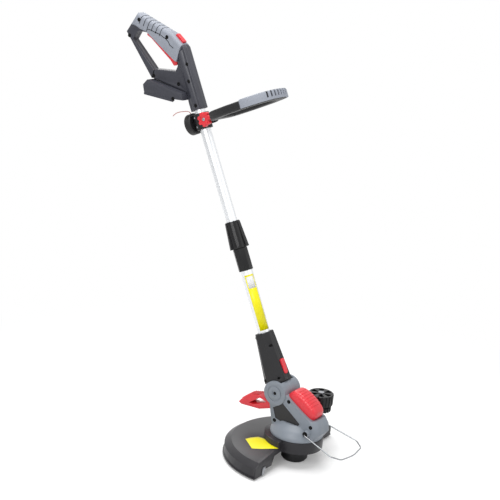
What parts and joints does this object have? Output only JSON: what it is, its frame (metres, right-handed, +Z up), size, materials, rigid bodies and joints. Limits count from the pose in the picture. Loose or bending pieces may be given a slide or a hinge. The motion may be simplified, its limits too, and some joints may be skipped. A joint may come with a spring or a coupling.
{
  "type": "cordless grass trimmer and lawn edger",
  "caption": "Telescopic cordless grass trimmer with a D-shaped rear handle, a tilting front loop handle, a turning neck, a tilting motor head, an edging wheel and a bump-feed line spool.",
  "frame": {"origin": "ground level under the middle of the line spool, on the flat of the bump cap", "axes": "+X towards the tool's front, away from the operator, +Y to the operator's left, +Z up"},
  "size_m": [0.7276, 0.3352, 0.9611],
  "materials": {
    "silver_tube": "satin",
    "black_plastic": "matte",
    "grey_plastic": "matte",
    "dark_panel": "matte",
    "light_grey_plastic": "matte",
    "red_plastic": "satin",
    "steel_wire": "bright",
    "steel": "satin",
    "brass": "satin",
    "nylon_line": "satin"
  },
  "bodies": {
    "handle": {"upper_tube": "silver_tube", "handle_shell_right": "black_plastic", "handle_shell_left": "black_plastic", "grip_cover_right": "light_grey_plastic", "grip_cover_left": "light_grey_plastic", "handle_screws": "steel", "socket_screws": "steel", "switch": "black_plastic", "battery_contacts": "brass", "trigger_pin": "steel", "trigger_spring": "steel_wire", "aux_clamp_front": "black_plastic", "aux_clamp_rear": "black_plastic", "clamp_screws": "steel", "aux_bolt": "steel", "spool_holder": "black_plastic", "spare_spool": "black_plastic", "spare_line": "nylon_line", "spare_line_tail": "nylon_line"},
    "lower_shaft": {"lower_tube": "silver_tube", "lock_sleeve": "black_plastic", "lock_collet": "black_plastic"},
    "collar": {"lock_collar": "black_plastic"},
    "neck": {"neck_shell_right": "black_plastic", "neck_shell_left": "black_plastic", "neck_screws": "steel", "turn_button_spring": "steel_wire"},
    "turn_button": {"turn_button": "red_plastic"},
    "head": {"motor_housing_right": "grey_plastic", "motor_housing_left": "grey_plastic", "side_panel_right": "dark_panel", "side_panel_left": "dark_panel", "motor": "steel", "motor_cover": "red_plastic", "head_screws": "steel", "pivot_bolt": "steel", "pedal_pin": "steel", "pedal_spring": "steel_wire", "guard": "black_plastic", "guard_screws": "steel", "line_cutter": "steel", "cutter_screws": "steel", "wheel_bracket": "black_plastic", "wheel_screw": "steel"},
    "pedal": {"foot_pedal": "red_plastic"},
    "spool": {"motor_shaft": "steel", "spool_drive": "black_plastic", "line_spool": "black_plastic", "wound_line": "nylon_line", "line_eyelet": "brass", "cutting_line": "nylon_line", "bump_cap": "black_plastic", "spool_spring": "steel_wire"},
    "edge_wheel": {"guide_wheel": "black_plastic"},
    "wire_guard": {"plant_guard": "steel_wire"},
    "trigger": {"trigger": "red_plastic"},
    "lock_off": {"lock_off_button": "red_plastic"},
    "front_handle": {"aux_frame": "black_plastic", "aux_grip": "light_grey_plastic"},
    "knob": {"aux_knob": "red_plastic"}
  },
  "joints": [
    {"name": "tube_slide", "type": "slide", "parent": "handle", "child": "lower_shaft", "axis": [-0.4384, 0, 0.8988], "range_m": [0, 0.17]},
    {"name": "collar_twist", "type": "hinge", "parent": "lower_shaft", "child": "collar", "pos_m": [-0.21942, 0, 0.49319], "axis": [-0.4384, 0, 0.8988], "range_deg": [0, 90]},
    {"name": "neck_turn", "type": "hinge", "parent": "lower_shaft", "child": "neck", "pos_m": [-0.09843, 0, 0.24513], "axis": [-0.4384, 0, 0.8988], "range_deg": [0, 180]},
    {"name": "turn_button_press", "type": "slide", "parent": "neck", "child": "turn_button", "axis": [-0.8988, 0, -0.4384], "range_m": [0, 0.003], "stiffness_N_per_m": 800, "springref_m": -0.002},
    {"name": "head_tilt", "type": "hinge", "parent": "neck", "child": "head", "pos_m": [-0.051, 0, 0.157], "axis": [0, 1, 0], "range_deg": [0, 36]},
    {"name": "pedal_press", "type": "hinge", "parent": "head", "child": "pedal", "pos_m": [-0.057, 0, 0.114], "axis": [0, -1, 0], "range_deg": [0, 8], "stiffness_Nm_per_rad": 0.8, "springref_deg": -8.59},
    {"name": "spool_spin", "type": "hinge", "parent": "head", "child": "spool", "pos_m": [0, 0, 0.03], "axis": [0, 0, 1], "continuous": true},
    {"name": "wheel_spin", "type": "hinge", "parent": "head", "child": "edge_wheel", "pos_m": [0.018, 0.063, 0.1315], "axis": [0, 0, 1], "continuous": true},
    {"name": "plant_guard_swing", "type": "hinge", "parent": "head", "child": "wire_guard", "pos_m": [0.046, 0, 0.089], "axis": [0, -1, 0], "range_deg": [0, 80]},
    {"name": "trigger_pull", "type": "hinge", "parent": "handle", "child": "trigger", "pos_m": [-0.50902, 0, 0.92271], "axis": [0, -1, 0], "range_deg": [0, 6], "stiffness_Nm_per_rad": 1, "springref_deg": -8.59},
    {"name": "lock_off_press", "type": "slide", "parent": "handle", "child": "lock_off", "axis": [-0.5918, 0, -0.8061], "range_m": [0, 0.003], "stiffness_N_per_m": 600, "springref_m": -0.0015},
    {"name": "front_handle_tilt", "type": "hinge", "parent": "handle", "child": "front_handle", "pos_m": [-0.31796, 0, 0.74998], "axis": [0, 1, 0], "range_deg": [-30, 30]},
    {"name": "knob_turn", "type": "hinge", "parent": "handle", "child": "knob", "pos_m": [-0.31796, 0, 0.74998], "axis": [0, 1, 0], "range_deg": [0, 360]}
  ]
}
